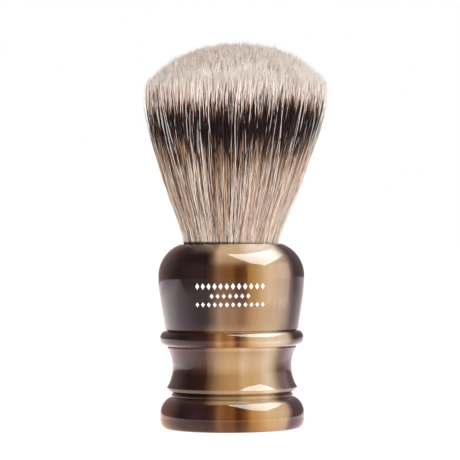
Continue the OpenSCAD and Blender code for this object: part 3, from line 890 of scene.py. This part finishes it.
# at the sides more of them are pale, as stray hairs are, and more on the right than on the left, painted light for the
# stronger light there
v, vc, col = strands(
    theta, np.full(n, 0.995), np.abs(rng.normal(2.0, 2.5, n)), np.full(n, -2.0), 14, rng.uniform(0.05, 0.075, n), rng,
    rng.normal(0, 2.6, n), np.zeros(n), np.zeros(n), np.where(rng.random(n) < 0.12, rng.uniform(1.0, 2.8, n), np.abs(rng.normal(0.35, 0.7, n))), 
    pick_columns(rng, n, 0.5, 0.03 + np.where(np.cos(theta) > 0, 0.45, 0.2) * np.cos(theta) ** 4, 0.05), rng.normal(0, 1.5, n), power=2.6)
finish_hair(link(bpy.data.objects.new("stray_hair", strand_mesh("stray_hair", v, vc, col, 14))), HAIR)


# ---------------------------------------------------------------- hidden CAD nodes keep their shape and get their finish
def cord_material():
    m = Nodes("cord")
    tc = m.new("ShaderNodeTexCoord").outputs["Object"]
    w = m.new("ShaderNodeTexWave", wave_type="BANDS", bands_direction="DIAGONAL")
    m.put(w.inputs["Vector"], tc)
    w.inputs["Scale"].default_value = 900.0
    w.inputs["Distortion"].default_value = 1.5
    c = m.mix(w.outputs["Fac"], lin(176, 158, 120), lin(226, 214, 186))
    p = m.surface(c, 0.75)
    m.put(p.inputs["Normal"], m.bump(w.outputs["Fac"], 0.5, 0.0001))
    return m.mat


def adhesive_material():
    m = Nodes("adhesive")
    tc = m.new("ShaderNodeTexCoord").outputs["Object"]
    n = m.noise(tc, 420.0, 4.0)
    c = m.mix(m.step(0.3, 0.7, n), lin(186, 170, 128), lin(214, 202, 166))
    p = m.surface(c, m.math("ADD", 0.35, m.math("MULTIPLY", n, 0.3)))
    m.put(p.inputs["Normal"], m.bump(n, 0.3, 0.0002))
    return m.mat


def plug_material():
    m = Nodes("plug_resin")
    tc = m.new("ShaderNodeTexCoord").outputs["Object"]
    n = m.noise(tc, 260.0, 3.0)
    c = m.mix(m.step(0.35, 0.65, n), lin(120, 70, 22), lin(168, 112, 44))
    m.surface(c, m.math("ADD", 0.12, m.math("MULTIPLY", n, 0.15)), IOR=1.5)
    return m.mat


for node, mat in (("binding_cord", cord_material()), ("socket_adhesive", adhesive_material()), ("resin_plug", plug_material())):
    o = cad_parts[node]
    o.data.materials.clear()
    o.data.materials.append(mat)

# ---------------------------------------------------------------- stage, light and camera
def stage_plane():
    me = bpy.data.meshes.new("floor")
    s = 40.0
    me.from_pydata([(-s, -s, 0), (s, -s, 0), (s, s, 0), (-s, s, 0)], [], [(0, 1, 2, 3)])
    me.update()
    o = link(bpy.data.objects.new("floor", me))
    m = Nodes("floor")
    path = m.new("ShaderNodeLightPath")
    diff = m.new("ShaderNodeBsdfDiffuse")
    diff.inputs[0].default_value = (0.1, 0.1, 0.1, 1)
    glow = m.new("ShaderNodeEmission")
    # as seen by the camera, in the polish, and by everything matt; painted shadow and light on the floor: next to the
    # object it is darker and tinted warm, with a brighter ring round it and a brighter stretch to the left
    place = m.new("ShaderNodeSeparateXYZ")
    m.put(place.inputs[0], m.new("ShaderNodeNewGeometry").outputs["Position"])
    away = m.math("SQRT", m.math("ADD", m.math("MULTIPLY", place.outputs[0], place.outputs[0]),
                                 m.math("MULTIPLY", place.outputs[1], place.outputs[1])))
    px, py = place.outputs[0], place.outputs[1]
    left = m.step(0.01, -0.01, px)
    side = m.math("MULTIPLY", m.step(-0.05, -0.14, px), m.math("MULTIPLY", m.step(-0.03, 0.065, py), 0.88))
    side = m.math("MULTIPLY", side, m.math("SUBTRACT", 1.0, m.math("MULTIPLY", m.step(0.12, 0.35, py), 0.5)))
    ring = m.math("MULTIPLY", m.step(0.145, 0.075, away), m.step(-0.034, -0.004, py))
    near = m.step(0.045, 0.03, away)
    tone = m.mix(side, (1.0, 0.82, 0.87), (1.0, 0.90, 0.90))
    tone = m.mix(ring, tone, m.mix(left, (1.0, 0.83, 0.86), (1.0, 0.74, 0.75)))
    tone = m.mix(near, tone, m.mix(left, (0.84, 0.62, 0.65), (0.86, 0.60, 0.48)))
    tone = m.mix(m.math("MULTIPLY", near, m.step(-0.017, -0.025, py)), tone, m.mix(left, (0.60, 0.34, 0.14), (0.62, 0.42, 0.45)))
    tone = m.mix(path.outputs["Is Camera Ray"], tone, (1, 1, 1))
    m.put(glow.inputs["Color"], tone)
    mirror = m.math("ADD", m.math("ADD", 1.3, m.math("MULTIPLY", ring, 0.75)), m.math("MULTIPLY", side, 0.98))
    # painted shade: the floor falls off toward the camera's side, behind the object and in the distance
    aside = m.math("MULTIPLY", m.step(0.02, 0.10, m.math("ABSOLUTE", px)), 0.52)
    far = m.step(0.10, 0.38, away)
    front = m.math("MULTIPLY", m.step(-0.018, -0.080, py),
                   m.math("ADD", aside, m.math("MULTIPLY", far, m.math("SUBTRACT", 0.90, aside))))
    behind = m.math("MULTIPLY", m.step(-0.09, 0.05, py), m.math("ADD", m.math("MULTIPLY", m.math("MULTIPLY", left, m.step(0.1, 0.6, away)), 0.24),
                    m.math("MULTIPLY", m.math("MULTIPLY", m.math("SUBTRACT", 1.0, left), m.step(0.02, 0.4, away)),
                                                                         m.math("SUBTRACT", 0.6, m.math("MULTIPLY", m.step(0.48, 0.8, m.math("DIVIDE", py, away)), 0.4)))))
    mirror = m.math("MULTIPLY", mirror, m.math("MULTIPLY", m.math("SUBTRACT", 1.0, front), m.math("SUBTRACT", 1.0, behind)))
    k = m.math("ADD", m.math("MULTIPLY", path.outputs["Is Camera Ray"], 0.985 - 0.66), 0.66)
    k = m.math("ADD", k, m.math("MULTIPLY", path.outputs["Is Glossy Ray"], m.math("SUBTRACT", mirror, 0.66)))
    m.put(glow.inputs["Strength"], k)
    add = m.new("ShaderNodeAddShader")
    m.tree.links.new(diff.outputs[0], add.inputs[0])
    m.tree.links.new(glow.outputs[0], add.inputs[1])
    # in the polish the floor ends about a metre off
    clear = m.new("ShaderNodeBsdfTransparent")
    ends = m.new("ShaderNodeMixShader")
    edge = m.math("MULTIPLY", m.step(0.8, 1.5, m.math("MULTIPLY", away, m.math("ADD", 0.5, m.math("MULTIPLY", left, 0.5)))),
                  path.outputs["Is Glossy Ray"])
    m.tree.links.new(edge, ends.inputs[0])
    m.tree.links.new(add.outputs[0], ends.inputs[1])
    m.tree.links.new(clear.outputs[0], ends.inputs[2])
    m.tree.links.new(ends.outputs[0], m.out.inputs["Surface"])
    o.data.materials.append(m.mat)
    o.location.z = -0.00005
    return o


stage_plane()

world = bpy.data.worlds.new("studio")
bpy.context.scene.world = world
world.use_nodes = True
wt = world.node_tree
wt.nodes.clear()


def wnode(kind, **props):
    n = wt.nodes.new(kind)
    for k, v in props.items():
        setattr(n, k, v)
    return n


def backdrop(lo, hi, dark, bright, left, right, overhead=0.0):
    """A room that is dark on the camera's side and pale behind the object, with a tint to each side; overhead darkens its upper left."""
    rng_node = wnode("ShaderNodeMapRange", interpolation_type="SMOOTHSTEP")
    wt.links.new(wsep.outputs[1], rng_node.inputs["Value"])
    for key, val in (("From Min", lo), ("From Max", hi), ("To Min", dark), ("To Max", bright)):
        rng_node.inputs[key].default_value = val
    bg = wnode("ShaderNodeBackground")
    across = wnode("ShaderNodeMapRange", interpolation_type="SMOOTHSTEP")
    wt.links.new(wsep.outputs[0], across.inputs["Value"])
    across.inputs["From Min"].default_value, across.inputs["From Max"].default_value = -0.4, 0.4
    blend = wnode("ShaderNodeMix", data_type="RGBA")
    wt.links.new(across.outputs["Result"], blend.inputs[0])
    blend.inputs[6].default_value, blend.inputs[7].default_value = (*left, 1), (*right, 1)
    wt.links.new(blend.outputs[2], bg.inputs["Color"])
    high = wnode("ShaderNodeMapRange", interpolation_type="SMOOTHSTEP")
    wt.links.new(wsep.outputs[2], high.inputs["Value"])
    aside = wnode("ShaderNodeMapRange", interpolation_type="SMOOTHSTEP")
    wt.links.new(wsep.outputs[0], aside.inputs["Value"])
    for node, vals in ((high, (0.30, 0.75, 0.0, overhead)), (aside, (0.1, -0.3, 0.0, 1.0))):
        for key, val in zip(("From Min", "From Max", "To Min", "To Max"), vals):
            node.inputs[key].default_value = val
    cut = wnode("ShaderNodeMath", operation="MULTIPLY")
    wt.links.new(high.outputs["Result"], cut.inputs[0])
    wt.links.new(aside.outputs["Result"], cut.inputs[1])
    keep = wnode("ShaderNodeMath", operation="SUBTRACT")
    keep.inputs[0].default_value = 1.0
    wt.links.new(cut.outputs[0], keep.inputs[1])
    power = wnode("ShaderNodeMath", operation="MULTIPLY")
    wt.links.new(rng_node.outputs["Result"], power.inputs[0])
    wt.links.new(keep.outputs[0], power.inputs[1])
    wt.links.new(power.outputs[0], bg.inputs["Strength"])
    return bg


wcoord = wnode("ShaderNodeTexCoord")
wsep = wnode("ShaderNodeSeparateXYZ")
wt.links.new(wcoord.outputs["Generated"], wsep.inputs[0])
seen_in_gloss = backdrop(-0.05, 0.75, 0.05, 0.46, (1.12, 0.78, 0.72), (0.64, 0.52, 0.55), 0.62)
seen_by_matt = backdrop(-0.9, 0.5, 0.16, 0.68, (1.0, 1.0, 1.0), (1.0, 1.0, 1.0))
white = wnode("ShaderNodeBackground")
white.inputs["Color"].default_value = (1, 1, 1, 1)
path = wnode("ShaderNodeLightPath")
m1, m2 = wnode("ShaderNodeMixShader"), wnode("ShaderNodeMixShader")
wt.links.new(path.outputs["Is Glossy Ray"], m1.inputs[0])
wt.links.new(seen_by_matt.outputs[0], m1.inputs[1])
wt.links.new(seen_in_gloss.outputs[0], m1.inputs[2])
wt.links.new(path.outputs["Is Camera Ray"], m2.inputs[0])
wt.links.new(m1.outputs[0], m2.inputs[1])
wt.links.new(white.outputs[0], m2.inputs[2])
wout = wnode("ShaderNodeOutputWorld")
wt.links.new(m2.outputs[0], wout.inputs["Surface"])


def softbox(name, way, size, power, colour=(1, 1, 1), distance=1.1):
    """A soft light with no mirror image, facing the object from the given way."""
    w = Vector(way).normalized()
    lamp = bpy.data.lights.new(name, "AREA")
    lamp.shape = "DISK"
    lamp.size = size
    lamp.energy = power
    lamp.color = colour
    o = link(bpy.data.objects.new(name, lamp))
    o.location = w * distance + Vector((0, 0, 0.05))
    o.rotation_mode = "QUATERNION"
    o.rotation_quaternion = (-w).to_track_quat("-Z", "Y")
    o.visible_camera = False
    o.visible_glossy = False
    return o


softbox("key", (0.36, -0.9, 0.26), 0.9, 13.8)
softbox("fill", (-0.9, -0.5, 0.24), 0.9, 8.5)


def reflector():
    """The lit panel mirrored in the polish: a many-sided pane, up and to the right, that fades toward its far side."""
    ways = [(-0.10, -0.10, 0.99), (-0.02, -0.30, 0.956), (0.20, -0.52, 0.83), (0.44, -0.60, 0.67), (0.74, -0.44, 0.507),
            (0.80, -0.10, 0.59), (0.75, 0.20, 0.63), (0.60, 0.57, 0.573), (0.466, 0.62, 0.64), (0.35, 0.52, 0.78),
            (0.30, 0.33, 0.90), (0.19, 0.15, 0.97), (0.05, 0.0, 0.998)]
    n = Vector((0.45, 0.0, 0.893)).normalized()
    pts = []
    for w in ways:
        w = Vector(w).normalized()
        pts.append(w * (0.85 / w.dot(n)) + Vector((0, 0, 0.045)))
    me = bpy.data.meshes.new("panel")
    me.from_pydata([tuple(p) for p in pts], [], [tuple(range(len(pts)))])
    me.update()
    o = link(bpy.data.objects.new("panel", me))
    m = Nodes("panel")
    tc = m.new("ShaderNodeNewGeometry")
    # distance from the sharp side, the line from the first to the second corner
    side = (pts[4] - pts[0]).normalized()
    away = n.cross(side).normalized()
    if away.dot(pts[8] - pts[0]) < 0:
        away.negate()
    dot = m.new("ShaderNodeVectorMath", operation="DOT_PRODUCT")
    m.put(dot.inputs[0], tc.outputs["Position"])
    dot.inputs[1].default_value = tuple(away)
    d = m.math("SUBTRACT", dot.outputs["Value"], float(pts[0].dot(away)))
    e = m.new("ShaderNodeEmission")
    e.inputs["Color"].default_value = (0.91, 0.95, 1.0, 1.0)
    m.put(e.inputs["Strength"], m.math("MULTIPLY", m.step(1.0, 0.35, d), PANEL))
    m.tree.links.new(e.outputs[0], m.out.inputs["Surface"])
    o.data.materials.append(m.mat)
    o.visible_camera = False
    o.visible_diffuse = False
    o.visible_shadow = False
    o.visible_transmission = False


PANEL = 11.0
reflector()

cam_data = bpy.data.cameras.new("camera")
cam_data.sensor_width = 36.0
cam_data.lens = 172.0
cam_data.clip_start, cam_data.clip_end = 0.05, 20.0
cam = link(bpy.data.objects.new("camera", cam_data))
cam.location = (-0.00027, -0.594, 0.0495)
target = Vector((-0.00027, 0.0, 0.0533))
q = (target - cam.location).to_track_quat("-Z", "Y")
cam.rotation_mode = "QUATERNION"
cam.rotation_quaternion = q @ Quaternion((0, 0, 1), -0.4 * DEG)
bpy.context.scene.camera = cam
bpy.context.scene.view_settings.view_transform = "Standard"
